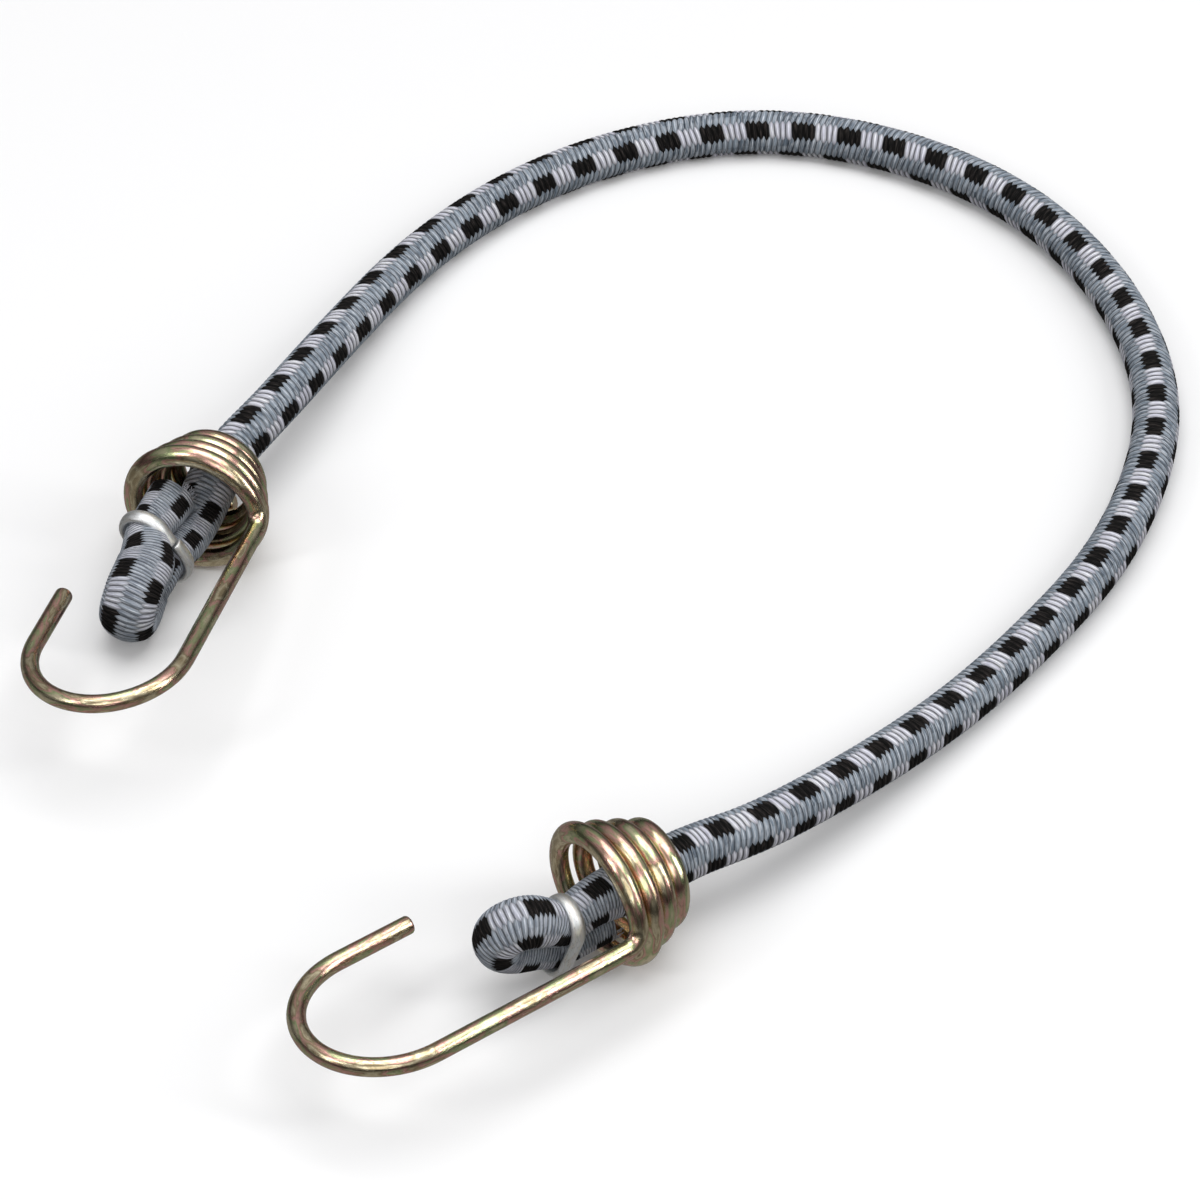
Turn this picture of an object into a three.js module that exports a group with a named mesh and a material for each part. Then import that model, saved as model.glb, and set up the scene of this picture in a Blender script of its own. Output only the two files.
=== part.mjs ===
import * as THREE from 'three';

// Bungee cord: a braided elastic cord lying in an open loop, with a bent wire hook at each end.
// Each end of the cord runs through the wire cone of its hook, is folded back on itself outside
// the cone's mouth and is held there by a wire ring, so that the fold can't pull through.
// Millimetres, +Z up. The origin is on the ground, under the middle of the hooks and rings.

// Cord
const CORD_DIAMETER = 8;
const CORD_RADIUS = CORD_DIAMETER / 2;
const CORD_SIDES = 12;
const CORD_FLAT = CORD_DIAMETER / 10; // the underside is pressed flat where it lies
const LYING_Z = CORD_RADIUS - CORD_FLAT;
const SHEATH_WALL = 0.75;
const STRANDS_ACROSS = 4; // square rubber strands, four by four
const STRAND_SIDE = 0.8;
const STRAND_PITCH = 1.12;

// Hook
const WIRE_DIAMETER = 3;
const WIRE_RADIUS = WIRE_DIAMETER / 2;
const WIRE_SIDES = 8;
const CONE_TURNS = 3.75;
const STEPS_PER_TURN = 24;
const CONE_LENGTH = 13.2;
const MOUTH_RADIUS = 11.6; // to the middle of the wire
const REAR_RADIUS = 6.7;
const CORNER_RADIUS = 3; // where the mouth turns into the shank
const SHANK_LENGTH = 38.5; // from the mouth to the start of the bend
const BEND_WIDTH = 25.6; // between the middles of shank and tip
const BEND_DEPTH = 14.1;
const BEND_STEPS = 15;
const TIP_LENGTH = 13;
const WIRE_BEVEL = 0.5;
const GROUND_FLAT = 0.5; // worn flat where the mouth rests on the ground

// Folded end of the cord
const SQUEEZED_RADIUS = 3.1; // under the ring
const FOLDED_RADIUS = 3.7; // of the cord in the fold's bend
const FOLD_RADIUS = 3.95;
const FOLD_STEPS = 6;
const FOLD_TURN = 6; // length over which the legs turn about each other beyond the ring
const CLAMP_REACH = 7; // from the mouth to the ring
const CLAMP_SPACING = 6.6; // between the two legs under the ring
const CLAMP_CLEARANCE = 0.45;
const CLAMP_WIRE_DIAMETER = 1.6;
const CLAMP_SPLIT = 1.2;
const TAIL_INSIDE = 1.5; // how far the cut end reaches back into the mouth
const LEAD_IN = 17; // from the mouth to where the free cord begins

// Where the two ends lie, by the centre of each cone's mouth. A cone's axis points from its mouth
// towards the cord: yaw is measured from +Y towards +X, and a negative pitch points the mouth
// slightly upwards. The folded end leans off that axis, about the cone's narrow rear, and its
// loop leans off again beyond the ring. shankAngle, foldAngle and loopAngle turn about these axes,
// from the horizontal upwards. reach is from the mouth to the middle of the fold's bend,
// and sag is how far the cord lies below the cone's axis at its rear.
const END_A = {
  x: -28,
  y: 55.6,
  hook: { yaw: 15.4, pitch: -5.6 },
  shankAngle: 6,
  fold: { yaw: 27.6, pitch: 1.8 },
  foldAngle: 120,
  loop: { yaw: 16, pitch: 10 },
  loopAngle: 98,
  reach: 18.2,
  sag: 0.5,
};
const END_B = {
  x: 38.7,
  y: -33.1,
  hook: { yaw: 52.5, pitch: -2 },
  shankAngle: 4.4,
  fold: { yaw: 52.5, pitch: 7 },
  foldAngle: -104,
  loop: { yaw: 64, pitch: -26 },
  loopAngle: -108,
  reach: 14.2,
  sag: 0.1,
};

// The free cord between the two cones, from end A to end B.
const FREE_ROUTE = [
  [-17.4, 83.1, 10.2],
  [-10.4, 98.1, 8.4],
  [-3.4, 114.1, 5.6],
  [5.6, 131.1, 3.7],
  [17.1, 145.6, LYING_Z],
  [31.6, 157.6, LYING_Z],
  [48.6, 166.1, LYING_Z],
  [67.1, 169.9, LYING_Z],
  [85.6, 167.3, LYING_Z],
  [102.6, 159.3, LYING_Z],
  [117.1, 146.7, LYING_Z],
  [127.6, 130.1, LYING_Z],
  [134, 111.1, LYING_Z],
  [135.4, 91.1, LYING_Z],
  [131.1, 71.1, LYING_Z],
  [122.6, 51.9, LYING_Z],
  [111.6, 35.7, LYING_Z],
  [99.1, 20.3, 3.5],
  [85.6, 5.5, 5.5],
  [73.1, -7.1, 8.4],
  [61.1, -17.1, 10.7],
];

const UP = new THREE.Vector3(0, 0, 1);

const braid = new THREE.MeshStandardMaterial({ color: 0x78879a, roughness: 0.85 });
const rubber = new THREE.MeshStandardMaterial({ color: 0xcdb58a, roughness: 0.7 });
const yellowZinc = new THREE.MeshStandardMaterial({ color: 0x9c8c5e, roughness: 0.3, metalness: 1 });
const brightZinc = new THREE.MeshStandardMaterial({ color: 0xc9ced0, roughness: 0.35, metalness: 1 });

/** Point at origin + x * right + y * up, for a frame with these axes. */
function offset(frame, x, y) {
  return frame.origin.clone().addScaledVector(frame.right, x).addScaledVector(frame.up, y);
}

/** Unit direction of a path at each of its points, halfway between the two neighbours. */
function tangents(points) {
  return points.map((_, i) => {
    const before = points[Math.max(i - 1, 0)];
    const after = points[Math.min(i + 1, points.length - 1)];
    return after.clone().sub(before).normalize();
  });
}

/** Frame across a path, turned as little as possible from the one before it. */
function carriedFrame(origin, tangent, previousRight) {
  const right = previousRight.clone().addScaledVector(tangent, -previousRight.dot(tangent)).normalize();
  return { origin, right, up: right.clone().cross(tangent) };
}

/** Frames along a path, carried on from a first sideways direction. */
function carriedFrames(points, firstRight) {
  const along = tangents(points);
  let right = firstRight;
  return points.map((point, i) => {
    const frame = carriedFrame(point, along[i], right);
    right = frame.right;
    return frame;
  });
}

/** Regular polygon as [x, y] pairs, with a flat side facing down. */
function polygon(sides, radius) {
  return Array.from({ length: sides }, (_, i) => {
    const angle = (2 * Math.PI * (i + 0.5)) / sides;
    return [radius * Math.cos(angle), radius * Math.sin(angle)];
  });
}

/** Polygon of the cord, with its lowest side widened into the flat that it lies on. */
function cordPolygon(radius) {
  const flat = CORD_RADIUS - CORD_FLAT;
  const scale = radius / CORD_RADIUS;
  return polygon(CORD_SIDES, CORD_RADIUS).map(([x, y]) => {
    if (y > -flat) return [x * scale, y * scale];
    return [Math.sign(x) * Math.sqrt(CORD_RADIUS ** 2 - flat ** 2) * 0.91 * scale, -flat * scale];
  });
}

/** Closed geometry from rings of points, each ring joined to the next, the ends capped. */
function loftGeometry(rings, closedEnds) {
  const count = rings[0].length;
  const positions = rings.flat().flatMap((p) => [p.x, p.y, p.z]);
  const faces = [];
  for (let i = 0; i + 1 < rings.length; i += 1) {
    for (let j = 0; j < count; j += 1) {
      const a = i * count + j;
      const b = i * count + ((j + 1) % count);
      faces.push(a, a + count, b, b, a + count, b + count);
    }
  }
  if (closedEnds) {
    const last = (rings.length - 1) * count;
    for (let j = 1; j + 1 < count; j += 1) {
      faces.push(0, j, j + 1, last, last + j + 1, last + j);
    }
  } else {
    const last = (rings.length - 1) * count;
    for (let j = 0; j < count; j += 1) {
      const next = (j + 1) % count;
      faces.push(last + j, j, last + next, last + next, j, next);
    }
  }
  const geometry = new THREE.BufferGeometry();
  geometry.setAttribute('position', new THREE.Float32BufferAttribute(positions, 3));
  geometry.setIndex(faces);
  geometry.computeVertexNormals();
  return geometry;
}

/** Solid rod: a polygon carried along frames. */
function rodGeometry(frames, section) {
  const rings = frames.map((frame, i) => section(i).map(([x, y]) => offset(frame, x, y)));
  return loftGeometry(rings, true);
}

/** Axes of a cone or fold: across is horizontal, rise points up, axis points towards the cord. */
function endAxes(direction) {
  const yaw = THREE.MathUtils.degToRad(direction.yaw);
  const pitch = THREE.MathUtils.degToRad(direction.pitch);
  const axis = new THREE.Vector3(
    Math.sin(yaw) * Math.cos(pitch), Math.cos(yaw) * Math.cos(pitch), Math.sin(pitch),
  );
  const across = new THREE.Vector3(Math.cos(yaw), -Math.sin(yaw), 0);
  return { axis, across, rise: across.clone().cross(axis) };
}

/** Radial direction about an end's axis, at an angle in degrees from the horizontal. */
function radial(axes, degrees) {
  const angle = THREE.MathUtils.degToRad(degrees);
  return axes.across.clone().multiplyScalar(Math.cos(angle)).addScaledVector(axes.rise, Math.sin(angle));
}

/**
 * Middle line of a hook's wire about its mouth's centre: the cone wound from its narrow rear end
 * to the mouth, the corner, the straight shank, the round bend and the tip.
 */
function hookLine(end) {
  const axes = endAxes(end.hook);
  const points = [];
  const add = (side, along) => points.push(side.clone().addScaledVector(axes.axis, along));

  const cornerTurn = THREE.MathUtils.radToDeg(Math.atan2(CORNER_RADIUS, MOUTH_RADIUS));
  const mouthAngle = end.shankAngle + cornerTurn;
  const coneSteps = Math.round(CONE_TURNS * STEPS_PER_TURN);
  for (let i = 0; i <= coneSteps; i += 1) {
    const left = 1 - i / coneSteps;
    const radius = MOUTH_RADIUS + (REAR_RADIUS - MOUTH_RADIUS) * left;
    add(radial(axes, mouthAngle + 360 * CONE_TURNS * left).multiplyScalar(radius), CONE_LENGTH * left);
  }
  const conePoints = points.length;

  const mouthSide = radial(axes, mouthAngle).multiplyScalar(MOUTH_RADIUS);
  const onward = radial(axes, mouthAngle - 90);
  for (const degrees of [22.5, 45, 67.5, 90]) {
    const angle = THREE.MathUtils.degToRad(degrees);
    const side = mouthSide.clone().addScaledVector(onward, CORNER_RADIUS * Math.sin(angle));
    add(side, CORNER_RADIUS * (Math.cos(angle) - 1));
  }

  const shankSide = radial(axes, end.shankAngle);
  const shankRadius = Math.hypot(MOUTH_RADIUS, CORNER_RADIUS);
  add(shankSide.clone().multiplyScalar(shankRadius), -SHANK_LENGTH / 2);
  for (let i = 0; i <= BEND_STEPS; i += 1) {
    const angle = (Math.PI * i) / BEND_STEPS;
    const side = shankRadius + (BEND_WIDTH / 2) * (Math.cos(angle) - 1);
    add(shankSide.clone().multiplyScalar(side), -SHANK_LENGTH - BEND_DEPTH * Math.sin(angle));
  }
  add(shankSide.clone().multiplyScalar(shankRadius - BEND_WIDTH), TIP_LENGTH - SHANK_LENGTH);
  return { points, conePoints, planeNormal: shankSide.clone().cross(axes.axis) };
}

/** Line with a short extra step at both ends, which the bevels of the cut wire take up. */
function withBevelSteps(points) {
  const along = tangents(points);
  const first = points[0].clone().addScaledVector(along[0], -WIRE_BEVEL);
  const last = points.at(-1).clone().addScaledVector(along.at(-1), WIRE_BEVEL);
  return [first, ...points, last];
}

/** Least gap between the wire of a cone and itself, half a turn or more further on. */
function leastGap(points) {
  let least = Infinity;
  for (let i = 0; i < points.length; i += 1) {
    for (let j = i + STEPS_PER_TURN / 2; j < points.length; j += 1) {
      least = Math.min(least, points[i].distanceTo(points[j]));
    }
  }
  return least - WIRE_DIAMETER;
}

/** Hook solid and the height of its mouth's centre, resting on the ground. */
function makeHook(end) {
  const line = hookLine(end);
  const points = withBevelSteps(line.points);
  const along = tangents(points);
  const frames = carriedFrames(points, along[0].clone().cross(UP).normalize());
  // Over the plane part of the hook the facets are squared up with the plane.
  const planeStart = line.conePoints + 4;
  for (let i = planeStart; i < frames.length; i += 1) {
    frames[i] = carriedFrame(points[i], along[i], line.planeNormal);
  }
  const section = (i) => {
    const bevelled = i === 0 || i === frames.length - 1;
    return polygon(WIRE_SIDES, bevelled ? WIRE_RADIUS - WIRE_BEVEL : WIRE_RADIUS);
  };
  const geometry = rodGeometry(frames, section);
  geometry.computeBoundingBox();
  const mouthHeight = -geometry.boundingBox.min.z - GROUND_FLAT;
  geometry.translate(end.x, end.y, mouthHeight);
  const position = geometry.getAttribute('position');
  for (let i = 0; i < position.count; i += 1) {
    position.setZ(i, Math.max(position.getZ(i), 0));
  }
  geometry.computeVertexNormals();
  return { geometry, mouthHeight, gap: leastGap(line.points.slice(0, line.conePoints)) };
}

/** Direction across a fold: turned from foldAngle at the ring to loopAngle a little beyond it. */
function foldAcross(end, beyond) {
  const turned = Math.min(-beyond / FOLD_TURN, 1);
  return radial(endAxes(end.fold), end.foldAngle)
    .lerp(radial(endAxes(end.loop), end.loopAngle), turned)
    .normalize();
}

/** Point of a folded end: along its axis, as far in from the mouth as given, and across the fold. */
function foldPoint(end, mouth, along, across) {
  const beyond = Math.min(along + CLAMP_REACH, 0);
  return mouth.clone()
    .addScaledVector(UP, -end.sag)
    .addScaledVector(endAxes(end.hook).axis, CONE_LENGTH)
    .addScaledVector(endAxes(end.fold).axis, Math.max(along, -CLAMP_REACH) - CONE_LENGTH)
    .addScaledVector(endAxes(end.loop).axis, beyond)
    .addScaledVector(foldAcross(end, beyond), across);
}

/** Stations of a folded end from the cone's rear to the cut tail: point and cord radius. */
function foldStations(end, mouth) {
  const half = CLAMP_SPACING / 2;
  const neckOut = CLAMP_REACH + 3.2;
  const neckIn = CLAMP_REACH - 3.5;
  const straight = CLAMP_REACH + 6;
  const stations = [];
  const add = (along, across, radius) => {
    stations.push({ point: foldPoint(end, mouth, along, across), radius });
  };
  const lead = mouth.clone()
    .addScaledVector(UP, -end.sag)
    .addScaledVector(endAxes(end.hook).axis, LEAD_IN);
  stations.push({ point: lead, radius: CORD_RADIUS });
  add(10, -0.5, CORD_RADIUS);
  add(4, -2.3, CORD_RADIUS - 0.2);
  add(-neckIn, -half - 0.1, SQUEEZED_RADIUS + 0.1);
  add(-CLAMP_REACH, -half, SQUEEZED_RADIUS);
  add(-neckOut, -half - 0.3, SQUEEZED_RADIUS + 0.2);
  add(-straight, -FOLD_RADIUS, FOLDED_RADIUS);
  for (let i = 0; i <= FOLD_STEPS; i += 1) {
    const angle = (Math.PI * i) / FOLD_STEPS;
    add(-end.reach - FOLD_RADIUS * Math.sin(angle), -FOLD_RADIUS * Math.cos(angle), FOLDED_RADIUS);
  }
  add(-straight, FOLD_RADIUS, FOLDED_RADIUS);
  add(-neckOut, half + 0.3, SQUEEZED_RADIUS + 0.2);
  add(-CLAMP_REACH, half, SQUEEZED_RADIUS);
  add(-neckIn, half + 0.2, SQUEEZED_RADIUS + 0.1);
  add(TAIL_INSIDE, half + 0.3, SQUEEZED_RADIUS + 0.2);
  return stations;
}

/** Frames along the whole cord: level over the free run, carried on through both folds. */
function cordFrames(foldA, free, foldB) {
  const stations = [...foldA.slice().reverse(), ...free, ...foldB];
  const points = stations.map((station) => station.point);
  const along = tangents(points);
  const first = foldA.length - 1;
  const last = first + free.length + 1;
  const frames = [];
  for (let i = first; i <= last; i += 1) {
    frames[i] = carriedFrame(points[i], along[i], along[i].clone().cross(UP).normalize());
  }
  for (let i = first - 1; i >= 0; i -= 1) {
    frames[i] = carriedFrame(points[i], along[i], frames[i + 1].right);
  }
  for (let i = last + 1; i < points.length; i += 1) {
    frames[i] = carriedFrame(points[i], along[i], frames[i - 1].right);
  }
  return { frames, radii: stations.map((station) => station.radius) };
}

/** Hollow braided sheath, open at both cut ends. */
function sheathGeometry({ frames, radii }) {
  const inner = (CORD_RADIUS - SHEATH_WALL) / CORD_RADIUS;
  const ring = (i, scale) => cordPolygon(radii[i] * scale).map(([x, y]) => offset(frames[i], x, y));
  const outside = frames.map((_, i) => ring(i, 1));
  const inside = frames.map((_, i) => ring(i, inner)).reverse();
  for (const point of outside.flat()) point.z = Math.max(point.z, 0);
  return loftGeometry([...outside, ...inside], false);
}

/** Square rubber strand of the core, at its column and row of the bundle. */
function strandGeometry({ frames, radii }, column, row) {
  const middle = (STRANDS_ACROSS - 1) / 2;
  const x = (column - middle) * STRAND_PITCH;
  const y = (row - middle) * STRAND_PITCH;
  const half = STRAND_SIDE / 2;
  const corners = [[x + half, y - half], [x + half, y + half], [x - half, y + half], [x - half, y - half]];
  const section = (i) => corners.map(([cx, cy]) => {
    const scale = radii[i] / CORD_RADIUS;
    return [cx * scale, cy * scale];
  });
  return rodGeometry(frames, section);
}

/** Wire ring round both legs of a fold: two half rounds and two straights, split on one straight. */
function clampGeometry(end, mouth) {
  const axes = endAxes({
    yaw: (end.fold.yaw + end.loop.yaw) / 2,
    pitch: (end.fold.pitch + end.loop.pitch) / 2,
  });
  const frame = {
    origin: foldPoint(end, mouth, -CLAMP_REACH, 0),
    right: radial(axes, end.foldAngle),
    up: radial(axes, end.foldAngle - 90),
  };
  const half = CLAMP_SPACING / 2;
  const radius = SQUEEZED_RADIUS + CLAMP_CLEARANCE + CLAMP_WIRE_DIAMETER / 2;
  const points = [offset(frame, CLAMP_SPLIT / 2, radius)];
  for (const direction of [1, -1]) {
    for (let i = 0; i <= 8; i += 1) {
      const angle = (Math.PI * i) / 8;
      const x = direction * (half + radius * Math.sin(angle));
      points.push(offset(frame, x, direction * radius * Math.cos(angle)));
    }
  }
  points.push(offset(frame, -CLAMP_SPLIT / 2, radius));
  const section = () => polygon(6, CLAMP_WIRE_DIAMETER / 2);
  return rodGeometry(carriedFrames(points, axes.axis), section);
}

function addMesh(group, name, geometry, material) {
  const mesh = new THREE.Mesh(geometry, material);
  mesh.name = name;
  group.add(mesh);
  return mesh;
}

const part = new THREE.Group();
part.name = 'bungee_cord';

const hookA = makeHook(END_A);
const hookB = makeHook(END_B);
const mouthA = new THREE.Vector3(END_A.x, END_A.y, hookA.mouthHeight);
const mouthB = new THREE.Vector3(END_B.x, END_B.y, hookB.mouthHeight);

const rigid = [
  addMesh(part, 'wire_hook_a', hookA.geometry, yellowZinc),
  addMesh(part, 'wire_hook_b', hookB.geometry, yellowZinc),
  addMesh(part, 'crimp_ring_a', clampGeometry(END_A, mouthA), brightZinc),
  addMesh(part, 'crimp_ring_b', clampGeometry(END_B, mouthB), brightZinc),
];

const free = FREE_ROUTE.map(([x, y, z]) => ({ point: new THREE.Vector3(x, y, z), radius: CORD_RADIUS }));
const cord = cordFrames(foldStations(END_A, mouthA), free, foldStations(END_B, mouthB));
addMesh(part, 'braided_sheath', sheathGeometry(cord), braid);
for (let row = 0; row < STRANDS_ACROSS; row += 1) {
  for (let column = 0; column < STRANDS_ACROSS; column += 1) {
    const number = String(row * STRANDS_ACROSS + column + 1).padStart(2, '0');
    addMesh(part, `rubber_strand_${number}`, strandGeometry(cord, column, row), rubber);
  }
}

const box = new THREE.Box3();
for (const mesh of rigid) box.expandByObject(mesh);
const centre = box.getCenter(new THREE.Vector3());
part.position.set(-centre.x, -centre.y, -box.min.z);

const metres = (v) => v.toArray().map((n) => (n / 1000).toFixed(5)).join(', ');
for (const [name, end, mouth] of [['a', END_A, mouthA], ['b', END_B, mouthB]]) {
  const axes = endAxes(end.hook);
  console.log(`end ${name}: mouth at ${metres(mouth.clone().add(part.position))} m`);
  console.log(`end ${name}: axis ${axes.axis.toArray().map((n) => n.toFixed(5)).join(', ')}`);
}
console.log(`least gap between turns: ${Math.min(hookA.gap, hookB.gap).toFixed(2)} mm`);

export default part;
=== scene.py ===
"""Bungee cord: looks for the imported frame. Lengths are in millimetres until a mesh is made."""

import math

import bpy
import numpy as np
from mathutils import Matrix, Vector


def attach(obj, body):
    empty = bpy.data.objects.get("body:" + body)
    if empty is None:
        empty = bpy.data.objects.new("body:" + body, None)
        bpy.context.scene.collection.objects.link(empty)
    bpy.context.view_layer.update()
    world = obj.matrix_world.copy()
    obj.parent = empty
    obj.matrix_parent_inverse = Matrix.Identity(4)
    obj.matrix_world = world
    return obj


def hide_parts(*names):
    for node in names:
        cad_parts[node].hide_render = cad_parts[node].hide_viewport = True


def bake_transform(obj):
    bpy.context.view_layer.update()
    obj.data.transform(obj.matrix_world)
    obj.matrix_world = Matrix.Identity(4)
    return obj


MM = 0.001
UP = np.array([0.0, 0.0, 1.0])

# Cord
CORD_RADIUS = 4.0
LYING_Z = 3.7  # of the middle line, where the cord lies on the ground
BUNCHED = 0.4  # how much the slack cord thickens inside a cone
STEP = 0.12  # between two samples of the cord's line
RADIUS_EASE = 2.0  # to each side, over which a change of the cord's radius is evened out
FREE_EVERY = 2  # the free cord takes every second sample
FREE_SIDES = 48
FOLD_SIDES = 64
GROUND_GAP = 0.05  # under the flat that the cord lies on
GROUND_RELIEF = 0.02  # of the braid on that flat

# Braid
COLUMNS = 8  # round the cord
BLOCK_RIBS = 4  # ribs in one black or pale block of the free cord
FOLD_BLOCK_RIBS = 6  # in the folds, where the slack braid is pushed together
FOLD_SLIP_B = 7.5  # ribs by which the check in the fold at end B is moved back along the cord
RIB_SLANT = -0.42  # how many ribs a float climbs over one column
FLOAT_REACH = 0.64  # half the length of a float, in columns
FLOAT_POWER = 4.0  # how bluntly a float falls off to its ends
FLOAT_THREADS = 3
RELIEF_LEVEL = 0.7  # the height on a float that lies at the cord's radius
RIB_WAVES = ((0.10, 0.13, 2), (0.06, 1.31, 1), (0.05, 2.17, -3))  # height, rate along, turns round
COLUMN_WAVES = ((0.03, 0.9, 4), (0.03, 2.6, -1))

# Length and height of one rib, at shares of the cord's whole length: less in the slack folds.
PITCH_AT = (0.0, 0.10, 0.13, 0.25, 0.34, 0.87, 0.90, 1.0)
RIB_PITCH = (0.52, 0.52, 1.18, 1.18, 1.1, 1.1, 0.52, 0.52)
RIB_HEIGHT = (0.14, 0.14, 0.21, 0.21, 0.2, 0.2, 0.14, 0.14)

# The braid's turn about the cord, in degrees, at shares of its whole length.
TWIST_AT = (0.0, 0.10, 0.14, 0.40, 0.62, 0.86, 1.0)
TWIST = (0.0, 0.0, -40.0, -2.0, 45.0, 55.0, 60.0)

# Hook
WIRE_RADIUS = 1.5
WIRE_SIDES = 24
WIRE_BEVEL = 0.5
BEVEL_STEPS = 4
CONE_TURNS = 3.75
CONE_LENGTH = 13.2
CONE_WIRE = 1.8  # half the wire's width along the cone, where its turns lie close
REAR_EASE = 0.5  # turns over which the wire grows fuller from its rear end
MOUTH_EASE = 0.125  # turns over which it grows thinner again before the mouth's corner
MOUTH_RADIUS = 11.6  # to the middle of the wire
REAR_RADIUS = 6.7
CORNER_RADIUS = 3.0  # where the mouth turns into the shank
SHANK_LENGTH = 38.5  # from the mouth to the start of the bend
BEND_WIDTH = 25.6
BEND_DEPTH = 14.1
TIP_LENGTH = 13.0
TURN_STEPS = 72
CORNER_STEPS = 9
SHANK_STEPS = 29
BEND_STEPS = 48
TIP_STEPS = 9

# Folded end
SQUEEZED_RADIUS = 3.2  # of the cord in the ring
FOLDED_RADIUS = 4.0  # of the cord in its bend
FOLD_RADIUS = 3.6  # of the bend itself
FOLD_STEPS = 6
FOLD_TURN = 6.0  # length over which the legs turn about each other beyond the ring
CLAMP_REACH = 7.0  # from the mouth to the ring
CLAMP_SPACING = 6.4  # between the middles of the two legs in the ring
LEAD_IN = 17.0  # from the mouth to where the free cord begins
TAIL_INSIDE = 1.5  # how far the cut tail reaches back into the mouth
LEGS_MEET = 2  # stations from the lead-in to where the legs press on each other
LEG_GAP = 0.03  # from a leg's flat to the fold's middle
BEND_FLATTENING = 1.5  # times the spread, taken off the cord's thickness in a bend

# The two legs of a fold: how far in from the mouth, how far from the fold's middle, cord's radius.
LEG_IN = (
    (10.0, 0.5, CORD_RADIUS + BUNCHED),
    (4.0, 2.3, CORD_RADIUS + BUNCHED / 2),
    (3.5 - CLAMP_REACH, CLAMP_SPACING / 2 + 0.2, SQUEEZED_RADIUS + 0.35),
    (-CLAMP_REACH, CLAMP_SPACING / 2, SQUEEZED_RADIUS),
    (-CLAMP_REACH - 3.2, CLAMP_SPACING / 2 + 0.2, SQUEEZED_RADIUS + 0.45),
    (-CLAMP_REACH - 6.0, FOLD_RADIUS, FOLDED_RADIUS),
)
LEG_BACK = (
    (-CLAMP_REACH - 6.0, FOLD_RADIUS, FOLDED_RADIUS),
    (-CLAMP_REACH - 3.2, CLAMP_SPACING / 2 + 0.2, SQUEEZED_RADIUS + 0.45),
    (-CLAMP_REACH, CLAMP_SPACING / 2, SQUEEZED_RADIUS),
    (3.5 - CLAMP_REACH, CLAMP_SPACING / 2 + 0.2, SQUEEZED_RADIUS + 0.6),
    (TAIL_INSIDE, CLAMP_SPACING / 2 + 0.5, SQUEEZED_RADIUS + 0.9),
)

# Ring
RING_RADII = (1.3, 0.72)  # half the ring wire's width and thickness
RING_SIDES = 20
RING_BEVEL = 0.3
RING_CLEARANCE = 0.05
RING_OPENING = 0.55  # half the distance between the ring's two ends
RING_SKEW = 0.35  # how far each of them is pushed along the ring's axis
RING_STEPS = 24  # in each half round
RING_STRAIGHT_STEPS = 5

# Cut tail
SHEATH_WALL = 0.5
TAIL_HOLLOW = 2.0  # how far the cut tail is open in front of the rubber
STRAND_ROWS = 4
STRAND_SPACING = 1.3
STRAND_HALF = 0.56  # half the width of a square strand
STRAND_SIDE = 0.6  # share of that half where the rounding of its corners starts
STRAND_CORNER = 0.88  # share of a sharp corner's reach that is left
STRAND_UNEVEN = 0.35  # how unevenly the strands are cut
STRAND_SAMPLES = slice(4, 60, 2)  # of the cord's samples, counted from the tail
STRAND_TIP = 4  # of those samples: the length that STRAND_UNEVEN is a share of
THREADS = 26
THREAD_RADIUS = 0.06
THREAD_SIDES = 5
THREAD_BEVEL = 0.03
THREAD_POINTS = 9
THREAD_ROOT = 0.2  # share of a thread that is inside the sheath
THREAD_RIM = 0.96  # share of the cord's radius where the threads stand
THREAD_FACING = (-0.3, 0.5)  # how far they may face towards and away from the other leg
THREAD_LEAST = (0.8, 0.0, -0.5)  # length, lean outwards and drift sideways
THREAD_MOST = (1.9, 0.35, 0.5)
THREAD_TIP = 5  # samples of the cord over which the tail's direction is taken
THREAD_SEEDS = (7, 8)

# Where the two ends lie. Mouth is the middle of a cone's wide end. Hook, fold and loop are the yaw and
# pitch in degrees of the cone, of the cord in the ring and of the bend beyond it, and the angles are
# taken about those axes, from the horizontal upwards. Reach is from the mouth to the bend, sag is how
# far the cord lies below the cone's axis at its rear, and spread is how much wider the bent cord is.
END_A = {
    "mouth": (-28.0, 55.6, 12.38),
    "hook": (15.4, -5.6),
    "shank_angle": 6.0,
    "fold": (27.6, 1.8),
    "fold_angle": 120.0,
    "loop": (16.0, 10.0),
    "loop_angle": 80.0,
    "reach": 18.2,
    "sag": 0.5,
    "spread": 0.19,
}
END_B = {
    "mouth": (38.7, -33.1, 12.27),
    "hook": (52.5, -2.0),
    "shank_angle": 4.4,
    "fold": (52.5, 7.0),
    "fold_angle": -104.0,
    "loop": (64.0, -26.0),
    "loop_angle": -108.0,
    "reach": 14.2,
    "sag": 0.1,
    "spread": 0.06,
}

# The free cord between the two cones, from end A to end B.
FREE_ROUTE = [
    (-17.4, 83.1, 10.3),
    (-10.4, 98.1, 8.5),
    (-3.4, 114.1, 5.9),
    (5.6, 131.1, 4.1),
    (17.1, 145.6, LYING_Z),
    (31.6, 157.6, LYING_Z),
    (48.6, 166.1, LYING_Z),
    (67.1, 169.9, LYING_Z),
    (85.6, 167.3, LYING_Z),
    (102.6, 159.3, LYING_Z),
    (117.1, 146.7, LYING_Z),
    (127.6, 130.1, LYING_Z),
    (134.0, 111.1, LYING_Z),
    (135.4, 91.1, LYING_Z),
    (131.1, 71.1, LYING_Z),
    (122.6, 51.9, LYING_Z),
    (111.6, 35.7, LYING_Z),
    (99.1, 20.3, 3.9),
    (85.6, 5.5, 5.8),
    (73.1, -7.1, 8.5),
    (61.1, -17.1, 10.7),
]

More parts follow.
